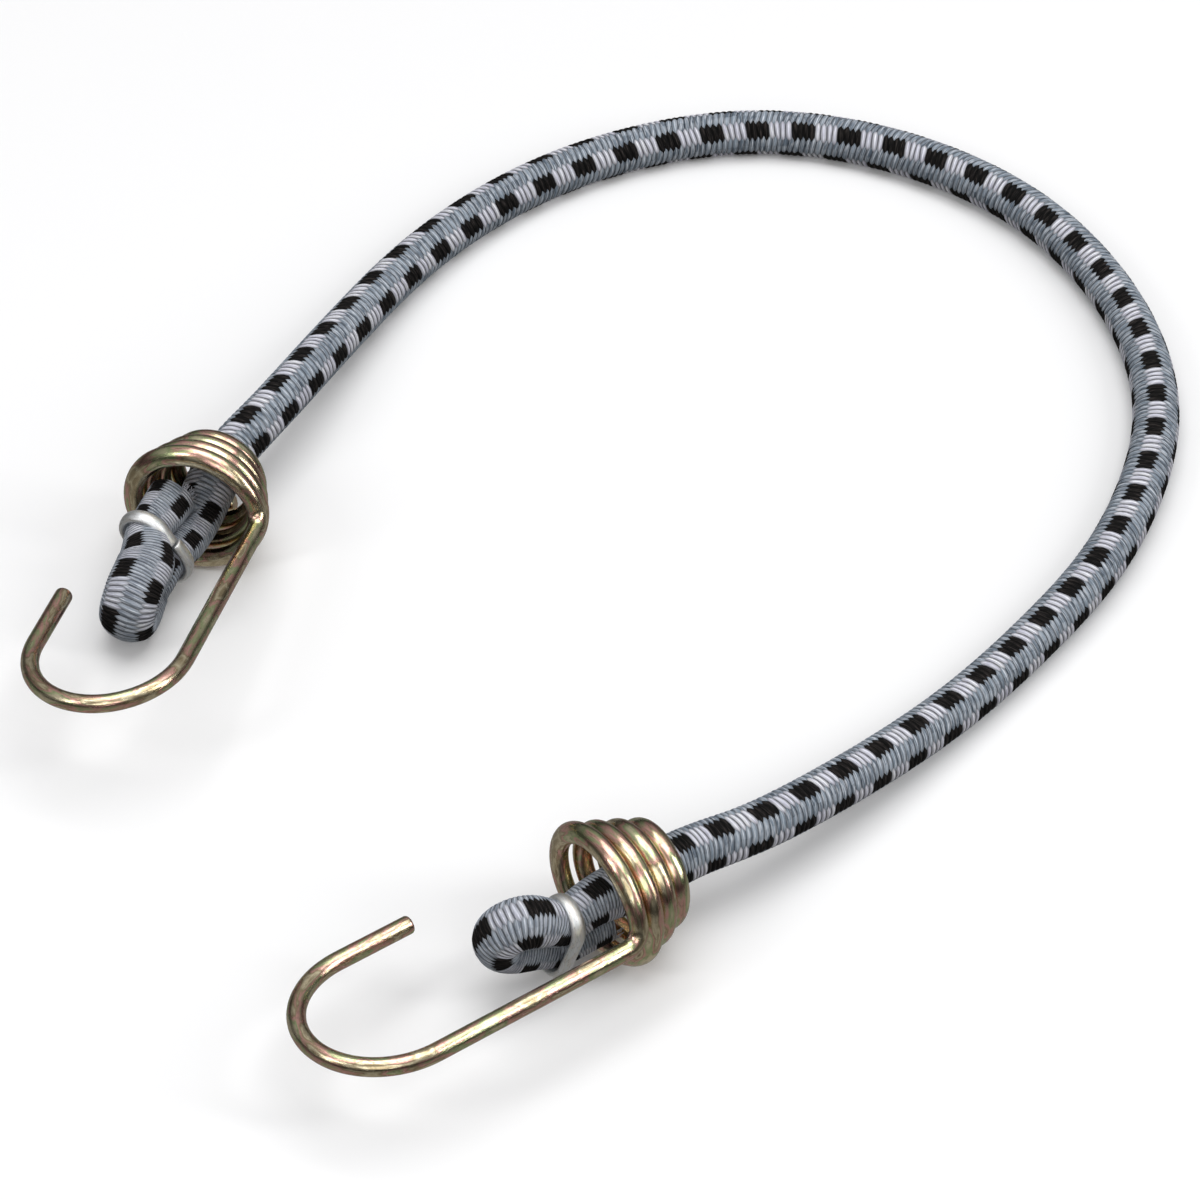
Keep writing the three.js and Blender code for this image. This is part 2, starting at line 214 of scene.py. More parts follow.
# Yarn finish: each pair of colours is blended by a random tone or by the fibres. The colours blended by
# the fibres are painted light: a highlight on the slate and black yarns, and shade on the pale yarn.
SLATE_TONES = ((0.115, 0.15, 0.195, 1), (0.33, 0.39, 0.46, 1))
# Painted highlight in the slate's fibre streaks, and the span of fibre values over which it is blended in
SLATE_FIBRE_HIGHLIGHT = (0.66, 0.70, 0.76, 1)
SLATE_HIGHLIGHT_SPAN = (0.45, 0.66)
PALE_TONES = ((0.85, 0.86, 0.95, 1), (0.96, 0.97, 1.0, 1))
# Painted shade in the pale yarn's fibre streaks, and the span of fibre values over which it is blended in
PALE_FIBRE_SHADE = (0.58, 0.58, 0.69, 1)
PALE_SHADE_SPAN = (0.35, 0.6)
# Black yarn and a painted highlight along its fibre streaks, and the span of fibre values between them
BLACK_AND_HIGHLIGHT = ((0.003, 0.003, 0.003, 1), (0.055, 0.046, 0.043, 1))
BLACK_HIGHLIGHT_SPAN = (0.48, 0.72)
FOLD_WORN = 0.3  # how far the yarns of the folds are rubbed towards each other's colour
FREE_VALLEY_SHADE = (0.42, 0.22)  # painted shade: brightness between the slate ribs and between those of the check
# The same painted shade between ribs, for the folds
FOLD_VALLEY_SHADE = (0.42, 0.3)
VALLEY_SPAN = (0.2, 0.95)  # heights between which a valley's painted shade fades
THREAD_SHADE = (0.3, 0.78)  # painted shade over a thread: brightness that its crown adds, and that of its sides
STREAK_SCALE = 1.6  # of the fibres along a float
STREAK_FINER = 5.0  # how much finer they are over its thickness
STREAK_SHIFT = 3.7  # from one float to the next
YARN_SPECULAR = 0.15
FIBRE_SUM_SPAN = (0.6, 1.4)
YARN_ROUGHNESS = (0.5, 0.75)
BLACK_ROUGHER = 0.2
FIBRE_RELIEF = 0.2
THREAD_RELIEF = 0.16
YARN_BUMP = (0.8, 0.00022)  # strength, and depth in metres
LOOSE_YARN_TONES = ((0.22, 0.25, 0.30, 1), (0.70, 0.70, 0.76, 1))
LOOSE_YARN_SCALE = 900.0
LOOSE_YARN_ROUGHNESS = 0.6

# Rubber finish
LATEX_TONES = ((0.45, 0.31, 0.15, 1), (0.70, 0.55, 0.33, 1))
LATEX_DUST_SCALE = 2500.0
LATEX_ROUGHNESS = 0.75
LATEX_BUMP = (0.3, 0.0001)

# Zinc finish. The grain's noise has a scale round and along the wire, detail and roughness.
GRAIN = {
    "Lines": (14.0, 0.12, 4.0, 0.6),
    "Cloud": (0.9, 0.16, 2.0, 0.5),
    "Marks": (3.0, 1.3, 5.0, 0.65),
}
GOLD = {
    "base": (0.50, 0.40, 0.24, 1),
    "warm": (0.90, 0.50, 0.43, 1),
    "cool": (0.52, 0.60, 0.31, 1),
    "light": (0.90, 0.79, 0.54, 1),
}
SILVER = {
    "base": (0.80, 0.81, 0.81, 1),
    "warm": (0.84, 0.82, 0.78, 1),
    "cool": (0.82, 0.86, 0.86, 1),
    "light": (0.92, 0.93, 0.94, 1),
}
TINT_STOPS = (
    (0.32, "base"),
    (0.46, "light"),
    (0.55, "base"),
    (0.64, "warm"),
    (0.76, "cool"),
    (0.92, "light"),
)
CLOUD_SPAN = (0.3, 0.7, 0.22, 0.86)  # of the cloud, and of the tints that it is spread over
LINE_TINT = 0.2  # how far the drawn lines shift the tint
LINE_SPAN = (0.35, 0.7)
DULL_SPAN = (0.52, 0.75)
DULL_TONE = (0.07, 0.055, 0.03, 1)
DULL_DEPTH = 0.55
DULL_ROUGHER = 0.15
GOLD_ROUGHNESS = (0.12, 0.25)
SILVER_ROUGHNESS = (0.4, 0.55)
MARK_RELIEF = 0.5
ZINC_BUMP = (0.3, 0.00008)

# Camera of the photograph: height above the ground plane as an angle, aim on the ground.
ELEVATION = 43.0
AIM = (39.6, 48.0, 0.0)
DISTANCE = 857.9
LENS = 154.4
SENSOR = 36.0
CLIP_START = 0.01  # metres

# Studio: lamps by place and size in metres and power in watts, surroundings from below to overhead.
LAMPS = {
    "top": ((0.1, 0.2, 1.3), (1.2, 1.0), 8.5),
    "right": ((1.1, -0.25, 0.7), (0.25, 0.9), 5.0),
    "left": ((-0.9, -0.5, 0.9), (0.3, 0.5), 2.5),
    "front": ((0.0, -1.0, 0.8), (0.8, 0.5), 2.5),
}
SURROUNDINGS = (
    (0.0, (0.27, 0.26, 0.25, 1)),
    (0.40, (0.20, 0.20, 0.20, 1)),
    (0.49, (0.02, 0.02, 0.02, 1)),
    (0.57, (0.05, 0.05, 0.05, 1)),
    (0.97, (0.55, 0.55, 0.56, 1)),
)
FLOOR_HALF = 6.0  # metres
FLOOR_COLOUR = (0.95, 0.95, 0.95, 1)
FLOOR_ROUGHNESS = 0.9
FLOOR_SPECULAR = 0.1


def unit(vectors):
    """Vectors divided by their lengths."""
    vectors = np.asarray(vectors, float)
    return vectors / np.linalg.norm(vectors, axis=-1, keepdims=True)


def end_axes(direction):
    """Axis towards the cord, horizontal across and upward rise, from a yaw and a pitch in degrees."""
    yaw, pitch = np.radians(direction)
    axis = np.array([np.sin(yaw) * np.cos(pitch), np.cos(yaw) * np.cos(pitch), np.sin(pitch)])
    across = np.array([np.cos(yaw), -np.sin(yaw), 0.0])
    return axis, across, np.cross(across, axis)


def radial(axes, degrees):
    """Direction across an axis: the angle's cosine times across plus its sine times rise."""
    angle = np.radians(degrees)
    return np.cos(angle) * axes[1] + np.sin(angle) * axes[2]


def line_lengths(points):
    """Distance along a line at each of its points, as the running sum of its steps."""
    return np.concatenate([[0], np.cumsum(np.linalg.norm(np.diff(points, axis=0), axis=1))])


def tangents(points):
    """Unit direction of a line at each of its points."""
    return unit(np.gradient(points, axis=0))


def spline(points, step):
    """Natural cubic through points, sampled about every step; also each sample's station number.

    The bows at the points solve one set of equations, by which the slopes on both sides of a point
    agree and the line's ends don't bow. Between two points, the line is the straight mean of both
    plus a cubic share of their bows.
    """
    points = np.asarray(points, float)
    knots = line_lengths(points)
    gaps = np.diff(knots)
    slopes = np.diff(points, axis=0) / gaps[:, None]
    count = len(points)
    inner = np.arange(1, count - 1)
    matrix = np.eye(count)
    matrix[inner, inner - 1] = gaps[:-1]
    matrix[inner, inner] = 2 * (gaps[:-1] + gaps[1:])
    matrix[inner, inner + 1] = gaps[1:]
    bends = np.zeros((count, 3))
    bends[inner] = 6 * np.diff(slopes, axis=0)
    bows = np.linalg.solve(matrix, bends)
    at = np.linspace(0, knots[-1], int(round(knots[-1] / step)) + 1)
    here = np.clip(np.searchsorted(knots, at, side="right") - 1, 0, count - 2)
    gap = gaps[here][:, None]
    left = (knots[here + 1] - at)[:, None] / gap
    done = 1 - left
    bow = ((left**3 - left) * bows[here] + (done**3 - done) * bows[here + 1]) * gap**2 / 6
    return left * points[here] + done * points[here + 1] + bow, here + done[:, 0]


def carried(along, first_right):
    """Sideways directions along a line, each turned as little as possible from the last.

    Each is the last one without its part along the line, at unit length.
    """
    rights = []
    right = first_right
    for direction in along:
        right = unit(right - direction * np.dot(right, direction))
        rights.append(right)
    return np.array(rights)


def grid_object(name, grid, uv, material):
    """Mesh object from rings of points in millimetres.

    Each face joins two neighbours of one ring to the same two of the next. A ring closes on itself,
    and a flat cap closes the first and the last ring.
    """
    rings, sides = grid.shape[:2]
    row = np.arange(rings - 1)[:, None] * sides
    first = (row + np.arange(sides)[None, :]).ravel()
    after = (row + (np.arange(sides) + 1)[None, :] % sides).ravel()
    faces = np.stack([first, first + sides, after + sides, after], axis=1).tolist()
    last = (rings - 1) * sides
    faces.append(list(range(sides)))
    faces.append([last + i for i in reversed(range(sides))])
    ring_uv = uv[:-1, :-1], uv[1:, :-1], uv[1:, 1:], uv[:-1, 1:]
    corner_uv = np.stack([part.reshape(-1, 2) for part in ring_uv], axis=1).reshape(-1, 2)
    corner_uv = np.concatenate([corner_uv, uv[0, :-1], uv[-1, :-1][::-1]])
    mesh = bpy.data.meshes.new(name)
    mesh.from_pydata((grid.reshape(-1, 3) * MM).tolist(), [], faces)
    layer = mesh.uv_layers.new(name="UVMap")
    layer.data.foreach_set("uv", corner_uv.astype(np.float32).ravel())
    mesh.shade_smooth()
    for cap in (-1, -2):
        mesh.polygons[cap].use_smooth = False
    mesh.materials.append(material)
    mesh.update()
    obj = bpy.data.objects.new(name, mesh)
    bpy.context.scene.collection.objects.link(obj)
    return obj


def wire_object(name, points, radii, sides, material, bevel, across):
    """Wire along a line: an ellipse across the line, carried along it.

    Radii are half its width, in the direction that across gives, and half its thickness. The width
    may change along the line. Both cut ends are rounded by a quarter circle as large as the bevel,
    and what would lie below the ground is flattened on it.
    """
    along = tangents(points)
    left = 1 - np.linspace(0, 1, BEVEL_STEPS + 1)[:-1]
    rounding = bevel * (1 - np.sqrt(1 - left**2))
    start = points[0] - along[0] * (bevel * left)[:, None]
    end = points[-1] + along[-1] * (bevel * left)[::-1, None]
    line = np.concatenate([start, points, end])
    inset = np.concatenate([rounding, np.zeros(len(points)), rounding[::-1]])[:, None, None]
    widths = np.pad(np.broadcast_to(radii[0], len(points)), BEVEL_STEPS, mode="edge")[:, None, None]
    along = tangents(line)
    right = carried(along, np.asarray(across, float))
    up = np.cross(right, along)
    turn = 2 * np.pi * np.arange(sides) / sides
    wide = np.cos(turn)[None, :, None] * right[:, None]
    thick = np.sin(turn)[None, :, None] * up[:, None]
    grid = line[:, None] + (widths - inset) * wide + (radii[1] - inset) * thick
    grid[..., 2] = np.maximum(grid[..., 2], 0.0)
    places = np.broadcast_arrays(np.arange(sides + 1)[None, :] / sides, line_lengths(line)[:, None])
    return grid_object(name, grid, np.stack(places, axis=-1), material)


def joined(pieces):
    """One object from several."""
    with bpy.context.temp_override(active_object=pieces[0], selected_editable_objects=pieces):
        bpy.ops.object.join()
    return pieces[0]


def hook_line(end):
    """Middle line of a hook's wire: cone, corner, shank, bend and tip.

    The cone's radius and its place along the axis fall evenly with the angle, from the rear to the
    mouth. The corner is a quarter circle, the bend half an ellipse, and the shank and tip are straight.
    """
    axes = end_axes(end["hook"])
    axis = axes[0]
    mouth = np.array(end["mouth"])
    mouth_angle = end["shank_angle"] + math.degrees(math.atan2(CORNER_RADIUS, MOUTH_RADIUS))
    left = np.linspace(1, 0, round(CONE_TURNS * TURN_STEPS) + 1)[:, None]
    radius = MOUTH_RADIUS + (REAR_RADIUS - MOUTH_RADIUS) * left
    winding = radius * radial(axes, mouth_angle + 360 * CONE_TURNS * left)
    cone = mouth + winding + CONE_LENGTH * left * axis

    turn = np.linspace(0, np.pi / 2, CORNER_STEPS + 1)[1:, None]
    onward = radial(axes, mouth_angle - 90)
    corner = cone[-1] + CORNER_RADIUS * (np.sin(turn) * onward + (np.cos(turn) - 1) * axis)

    shank_side = radial(axes, end["shank_angle"])
    shank_radius = math.hypot(MOUTH_RADIUS, CORNER_RADIUS)
    ahead = np.linspace(CORNER_RADIUS, SHANK_LENGTH, SHANK_STEPS + 1)[1:-1, None]
    shank = mouth + shank_radius * shank_side - ahead * axis
    turn = np.linspace(0, np.pi, BEND_STEPS + 1)[:, None]
    side = shank_radius + BEND_WIDTH / 2 * (np.cos(turn) - 1)
    bend = mouth + side * shank_side - (SHANK_LENGTH + BEND_DEPTH * np.sin(turn)) * axis
    back = np.linspace(0, TIP_LENGTH, TIP_STEPS + 1)[1:, None]
    tip = mouth + (shank_radius - BEND_WIDTH) * shank_side - (SHANK_LENGTH - back) * axis
    return np.concatenate([cone, corner, shank, bend, tip])


def wire_widths(count):
    """Half the hook wire's width along the cone: fuller in the cone, easing off at both its ends."""
    cone_end = CONE_TURNS * TURN_STEPS
    places = (0, REAR_EASE * TURN_STEPS, cone_end - MOUTH_EASE * TURN_STEPS, cone_end)
    return np.interp(np.arange(count), places, (WIRE_RADIUS, CONE_WIRE, CONE_WIRE, WIRE_RADIUS))


def fold_point(end, along, across):
    """Point of a folded end, as far in from the mouth as along says, and across the fold.

    The fold leans off the cone's axis about the cone's rear. Beyond the ring it follows the loop's
    own axis, and the direction across turns to the loop's own over a short length.
    """
    fold, loop = end_axes(end["fold"]), end_axes(end["loop"])
    beyond = min(along + CLAMP_REACH, 0)
    turned = min(-beyond / FOLD_TURN, 1)
    across_fold, across_loop = radial(fold, end["fold_angle"]), radial(loop, end["loop_angle"])
    side = unit((1 - turned) * across_fold + turned * across_loop)
    rear = np.array(end["mouth"]) - end["sag"] * UP + CONE_LENGTH * end_axes(end["hook"])[0]
    return rear + (max(along, -CLAMP_REACH) - CONE_LENGTH) * fold[0] + beyond * loop[0] + across * side


def fold_stations(end):
    """Points, cord radii, fold middles and spread of a folded end, from the cone's rear to the tail.

    The legs follow their lists, and the bend between them is half a circle.
    """
    reach = end["reach"]
    rows = [(along, -across, radius) for along, across, radius in LEG_IN]
    for angle in np.linspace(0, np.pi, FOLD_STEPS + 1):
        along = -reach - FOLD_RADIUS * np.sin(angle)
        rows.append((along, -FOLD_RADIUS * np.cos(angle), FOLDED_RADIUS))
    rows += LEG_BACK
    lead = np.array(end["mouth"]) - end["sag"] * UP + LEAD_IN * end_axes(end["hook"])[0]
    stations = [(lead, CORD_RADIUS + BUNCHED / 2, lead, 0)]
    for along, across, radius in rows:
        middle = fold_point(end, max(along, -reach), 0)
        spread = end["spread"] * min(max(-along - CLAMP_REACH, 0) / FOLD_TURN, 1)
        stations.append((fold_point(end, along, across), radius, middle, spread))
    return stations


def whole_cord(step):
    """Middle line, radii and frames of the whole cord, and the station number of each sample.

    The line is a cubic through all stations, and what they say is blended between them. In the folds,
    out points away from the fold's middle and room is the distance to it: the two legs of a fold press
    flat against each other there. Spread is the share by which a bent cord is wider across its bend
    than it is thick.
    """
    fold_a = fold_stations(END_A)[::-1]
    fold_b = fold_stations(END_B)
    free = [(np.array(point), CORD_RADIUS, np.array(point), 0) for point in FREE_ROUTE]
    places, radii, middles, spread = zip(*fold_a, *free, *fold_b)
    points, number = spline(places, step)
    at = np.arange(len(places))
    width = int(RADIUS_EASE / step)
    padded = np.pad(np.interp(number, at, radii), width, mode="edge")
    mean = np.ones(2 * width + 1) / (2 * width + 1)
    middles = np.stack([np.interp(number, at, values) for values in np.transpose(middles)], axis=-1)
    out = points - middles
    room = np.linalg.norm(out, axis=1)
    first, last = len(fold_a) - 1, len(places) - len(fold_b)
    pressed = (number < first - LEGS_MEET) | (number > last + LEGS_MEET)
    along = tangents(points)
    level = np.flatnonzero((number >= first) & (number <= last))
    right = np.empty_like(points)
    right[level] = unit(np.cross(along[level], UP))
    right[: level[0]] = carried(along[: level[0]][::-1], right[level[0]])[::-1]
    right[level[-1] + 1 :] = carried(along[level[-1] + 1 :], right[level[-1]])
    return {
        "points": points,
        "radii": np.convolve(padded, mean, mode="valid"),
        "right": right,
        "up": np.cross(right, along),
        "out": out / np.maximum(room, 1e-9)[:, None],
        "room": np.where(pressed, room, np.inf),
        "spread": np.interp(number, at, spread),
        "number": number,
        "seams": (first - 1, last + 1),
    }


def float_height(across, along):
    """Height of a braid float: a cosine over its thickness, times a blunt power towards its two ends."""
    length = 1 - np.minimum(np.abs(across / FLOAT_REACH), 1) ** FLOAT_POWER
    return length * np.cos(np.pi * (along - np.floor(along) - 0.5))


def uneven(columns, ribs):
    """Places on the braid, moved by a few sine waves as in a hand-fed braid.

    Each wave goes a whole number of times round the cord, so that it closes.
    """
    turn = 2 * np.pi * columns / COLUMNS
    moved = [columns, ribs]
    for place, waves in enumerate((COLUMN_WAVES, RIB_WAVES)):
        for height, rate, turns in waves:
            moved[place] = moved[place] + height * np.sin(rate * ribs + turns * turn)
    return moved


def braid_height(columns, ribs):
    """Height of the braid: the higher of two floats, which slant to opposite sides.

    The floats of even columns slant one way and those of odd columns the other, half a rib further on.
    """
    even = 2 * ((columns + 1) / 2 - np.floor((columns + 1) / 2)) - 1
    odd = 2 * (columns / 2 - np.floor(columns / 2)) - 1
    even_height = float_height(even, ribs + RIB_SLANT * even)
    odd_height = float_height(odd, ribs - RIB_SLANT * odd + 0.5)
    return np.maximum(even_height, odd_height)


def folded(offset, out, room, spread):
    """Offsets from the cord's middle line, wider across a bend and flat where two legs meet.

    An offset grows by the share that spread gives, and its part that points out of the fold loses
    BEND_FLATTENING times as much. Then what lies past the fold's middle is moved back to it.
    """
    depth = np.einsum("ijk,ik->ij", offset, out)
    offset = offset * (1 + spread[:, None, None])
    offset -= BEND_FLATTENING * (spread[:, None] * depth)[..., None] * out[:, None]
    depth = np.einsum("ijk,ik->ij", offset, out)
    past = np.maximum(LEG_GAP - room[:, None] - depth, 0)
    return offset + past[..., None] * out[:, None]


def turned_in(grid, uv, middles):
    """Rings whose first edge is turned in, so that the cut sheath there has a wall round a hollow.

    The inner rings are two of the outer ones, nearer to the middle line by the wall's thickness.
    """
    rows = [np.searchsorted(line_lengths(middles), TAIL_HOLLOW), 0]
    offset = grid[rows] - middles[rows][:, None]
    wall = SHEATH_WALL / np.linalg.norm(offset, axis=-1, keepdims=True)
    inner = middles[rows][:, None] + (1 - wall) * offset
    return np.concatenate([inner, grid]), uv[[0, 0, *range(len(uv))]]


def cord_piece(name, cord, keep, sides, material, tail=0, slip=0.0):
    """Braided tube over the chosen samples of the cord.

    Its radius is the cord's plus the braid's height, and rib numbers grow by the length over the pitch.
    A tail of 1 says that the cord is cut at its first sample, and of -1 at its last.
    """
    lengths = line_lengths(cord["points"])
    share = lengths / lengths[-1]
    ribs = np.cumsum(np.gradient(lengths) / np.interp(share, PITCH_AT, RIB_PITCH))[keep] + slip
    columns, ribs = uneven(COLUMNS * np.arange(sides + 1)[None, :] / sides, ribs[:, None])
    turn = np.radians(np.interp(share, TWIST_AT, TWIST))[keep]
    angle = 2 * np.pi * np.arange(sides)[None, :] / sides + turn[:, None]
    height = braid_height(columns[:, :-1], ribs[:, :-1]) - RELIEF_LEVEL
    rise = np.interp(share, PITCH_AT, RIB_HEIGHT)[keep]
    radius = cord["radii"][keep][:, None] + rise[:, None] * height
    right, up = cord["right"][keep], cord["up"][keep]
    ring = np.cos(angle)[..., None] * right[:, None] + np.sin(angle)[..., None] * up[:, None]
    points = cord["points"][keep]
    offset = folded(radius[..., None] * ring, cord["out"][keep], cord["room"][keep], cord["spread"][keep])
    grid = points[:, None] + offset
    grid[..., 2] = np.maximum(grid[..., 2], GROUND_GAP + GROUND_RELIEF * height)
    uv = np.stack([columns, ribs], axis=-1)
    if tail:
        grid, uv = turned_in(grid[::tail], uv[::tail], points[::tail])
        grid, uv = grid[::tail], uv[::tail]
    return grid_object(name, grid, uv, material)


def ring_line(end):
    """Middle line and axis of the wire ring round both legs of a fold.

    It is a slot's outline, two half circles and straight sides, open in the middle of one side. From
    one end to the other it climbs evenly along its axis, so its two ends are a little out of line.
    """
    mean = (np.array(end["fold"]) + np.array(end["loop"])) / 2
    axes = end_axes(mean)
    centre = fold_point(end, -CLAMP_REACH, 0)
    side = radial(axes, end["fold_angle"])
    front = radial(axes, end["fold_angle"] - 90)
    half = CLAMP_SPACING / 2
    radius = SQUEEZED_RADIUS + RING_RADII[1] + RING_CLEARANCE
    straight = np.linspace(RING_OPENING, half, RING_STRAIGHT_STEPS + 1)[:-1]
    turn = np.linspace(0, np.pi, RING_STEPS + 1)
    bow = half + radius * np.sin(turn)
    rise = radius * np.cos(turn)
    level = np.full(len(straight), radius)
    x = np.concatenate([straight, bow, -bow, -straight[::-1]])[:, None]
    y = np.concatenate([level, rise, -rise, level])[:, None]
    skew = np.linspace(-RING_SKEW, RING_SKEW, len(x))[:, None]
    return centre + x * side + y * front + skew * axes[0], axes[0]


def core_end(name, cord, order, material):
    """Cut ends of the square strands that stand just inside the sheath's cut tail.

    A strand is a square with rounded corners, carried along the cord at its place in the bundle. An
    order of 1 means the tail at the cord's first sample, and of -1 the one at its last.
    """
    keys = ("points", "right", "up", "radii")
    points, right, up, radii = (cord[key][::order][STRAND_SAMPLES] for key in keys)
    right = order * right
    scale = radii.mean() / CORD_RADIUS
    quarter = np.array([(STRAND_CORNER, -STRAND_CORNER), (1, -STRAND_SIDE), (1, STRAND_SIDE)])
    quarter_turn = np.array([(0, 1), (-1, 0)])
    corners = np.concatenate([quarter @ np.linalg.matrix_power(quarter_turn, side) for side in range(4)])
    outward = points[0] - points[STRAND_TIP]
    pieces = []
    for row in range(STRAND_ROWS):
        for column in range(STRAND_ROWS):
            middle = np.array([column, row]) - (STRAND_ROWS - 1) / 2
            places = scale * (STRAND_SPACING * middle + STRAND_HALF * corners)
            ring = places[None, :, :1] * right[:, None] + places[None, :, 1:] * up[:, None]
            longer = STRAND_UNEVEN * math.sin(2.1 * row + 1.3 * column)
            grid = points[:, None] + ring + longer * outward
            uv = np.zeros((len(points), len(corners) + 1, 2))
            pieces.append(grid_object(name, grid, uv, material))
    return joined(pieces)


def fray(name, cord, order, seed, material):
    """Loose threads at a cut tail: each leaves the sheath's edge and bends by the square of its share.

    An order of 1 means the tail at the cord's first sample, and of -1 the one at its last.
    """
    random = np.random.default_rng(seed)
    points = cord["points"][::order]
    right, up, out, radius = (cord[key][::order][0] for key in ("right", "up", "out", "radii"))
    outward = unit(points[0] - points[THREAD_TIP])
    share = np.linspace(0, 1, THREAD_POINTS)[:, None]
    pieces = []
    while len(pieces) < THREADS:
        angle = random.uniform(0, 2 * np.pi)
        length, lean, drift = random.uniform(THREAD_LEAST, THREAD_MOST)
        ring = np.cos(angle) * right + np.sin(angle) * up
        if not THREAD_FACING[0] < np.dot(ring, out) < THREAD_FACING[1]:
            continue
        root = points[0] + THREAD_RIM * radius * ring
        bent = lean * ring + drift * np.cross(outward, ring)
        line = root + length * (share - THREAD_ROOT) * outward + share**2 * bent
        radii = (THREAD_RADIUS, THREAD_RADIUS)
        pieces.append(wire_object(name, line, radii, THREAD_SIDES, material, THREAD_BEVEL, ring))
    return joined(pieces)


class Graph:
    """Short spellings for building a node tree."""

    def __init__(self, tree):
        self.tree = tree

    def node(self, kind, **settings):
        """New node of a kind, with these settings."""
        made = self.tree.nodes.new(kind)
        for key, value in settings.items():
            setattr(made, key, value)
        return made

    def set(self, socket, value):
        """Link a socket to another, or give it a plain value."""
        if isinstance(value, bpy.types.NodeSocket):
            self.tree.links.new(value, socket)
        else:
            socket.default_value = value

    def fill(self, made, values):
        """Set a node's first inputs and give its first output."""
        for socket, value in zip(made.inputs, values):
            self.set(socket, value)
        return made.outputs[0]

    def math(self, operation, *values):
        """Result of an operation on values."""
        return self.fill(self.node("ShaderNodeMath", operation=operation), values)

    def span(self, value, low, high, out_low=0.0, out_high=1.0):
        """Value between low and high, spread from out_low to out_high."""
        return self.fill(self.node("ShaderNodeMapRange"), (value, low, high, out_low, out_high))

    def vector(self, x, y, z):
        """Vector of three values."""
        return self.fill(self.node("ShaderNodeCombineXYZ"), (x, y, z))

    def parts(self, vector):
        """The three values of a vector."""
        made = self.node("ShaderNodeSeparateXYZ")
        self.set(made.inputs[0], vector)
        return made.outputs

    def mix(self, factor, low, high, blend="MIX"):
        """Blend of two colours."""
        made = self.node("ShaderNodeMix", data_type="RGBA", blend_type=blend)
        self.set(made.inputs["Factor"], factor)
        self.set(made.inputs[6], low)
        self.set(made.inputs[7], high)
        return made.outputs[2]

    def noise(self, vector, scale, detail=3.0, roughness=0.5):
        """Smooth noise at a place."""
        made = self.node("ShaderNodeTexNoise")
        self.set(made.inputs["Vector"], vector)
        self.set(made.inputs["Scale"], scale)
        self.set(made.inputs["Detail"], detail)
        self.set(made.inputs["Roughness"], roughness)
        return made.outputs[0]

    def random(self, x, y):
        """Random value for a pair of whole numbers."""
        made = self.node("ShaderNodeTexWhiteNoise", noise_dimensions="2D")
        self.set(made.inputs["Vector"], self.vector(x, y, 0.0))
        return made.outputs["Value"]

    def ramp(self, value, stops):
        """Colour at a value, blended between stops of position and colour."""
        made = self.node("ShaderNodeValToRGB")
        elements = made.color_ramp.elements
        for element, (position, colour) in zip(elements, (stops[0], stops[-1])):
            element.position = position
            element.color = colour
        for position, colour in stops[1:-1]:
            elements.new(position).color = colour
        self.set(made.inputs[0], value)
        return made.outputs[0]

    def group(self, group, *values):
        """Outputs of a group node with these inputs."""
        made = self.node("ShaderNodeGroup", node_tree=group)
        self.fill(made, values)
        return made.outputs

    def bump(self, principled, height, strength, distance):
        """Relief on a shader from a height, over a distance in metres."""
        made = self.node("ShaderNodeBump")
        self.set(made.inputs["Height"], height)
        self.set(made.inputs["Strength"], strength)
        self.set(made.inputs["Distance"], distance)
        self.set(principled.inputs["Normal"], made.outputs[0])


def shader_group(name, inputs, outputs):
    """Empty shader node group with float sockets: the group, its graph, its inputs and its results."""
    group = bpy.data.node_groups.new(name, "ShaderNodeTree")
    for label in inputs:
        group.interface.new_socket(label, in_out="INPUT", socket_type="NodeSocketFloat")
    for label in outputs:
        group.interface.new_socket(label, in_out="OUTPUT", socket_type="NodeSocketFloat")
    graph = Graph(group)
    source = graph.node("NodeGroupInput").outputs
    return group, graph, source, graph.node("NodeGroupOutput").inputs


def float_group():
    """Braid float of a few threads: its height as in float_height, number, threads and fibre streaks."""
    outputs = ["Height", "Number", "Thread", "Fibre"]
    group, graph, source, result = shader_group("braid_float", ["Across", "Along"], outputs)
    across, along = source["Across"], source["Along"]
    reach = graph.math("ABSOLUTE", graph.math("DIVIDE", across, FLOAT_REACH))
    fall = graph.math("POWER", graph.math("MINIMUM", reach, 1.0), FLOAT_POWER)
    length = graph.math("SUBTRACT", 1.0, fall)
    offset = graph.math("SUBTRACT", graph.math("FRACT", along), 0.5)
    thick = graph.math("COSINE", graph.math("MULTIPLY", offset, math.pi))
    thread = graph.math("COSINE", graph.math("MULTIPLY", offset, 2 * FLOAT_THREADS * math.pi))
    number = graph.math("FLOOR", along)
    over = graph.math("MULTIPLY", offset, STREAK_FINER)
    streak = graph.vector(over, across, graph.math("MULTIPLY", number, STREAK_SHIFT))
    graph.set(result["Height"], graph.math("MULTIPLY", length, thick))
    graph.set(result["Number"], number)
    graph.set(result["Thread"], graph.math("MULTIPLY_ADD", thread, 0.5, 0.5))
    graph.set(result["Fibre"], graph.noise(streak, STREAK_SCALE, detail=2.0))
    return group


def grain_group():
    """Drawn-wire grain: fine lines along the wire, a slow cloud and marks, from place round and along."""
    group, graph, source, result = shader_group("wire_grain", ["Round", "Along"], list(GRAIN))
    turn = graph.math("MULTIPLY", source["Round"], 2 * math.pi)
    place = graph.math("COSINE", turn), graph.math("SINE", turn), source["Along"]
    for label, (round_scale, along_scale, detail, roughness) in GRAIN.items():
        scales = (round_scale, round_scale, along_scale)
        scaled = [graph.math("MULTIPLY", value, scale) for value, scale in zip(place, scales)]
        graph.set(result[label], graph.noise(graph.vector(*scaled), 1.0, detail, roughness))
    return group


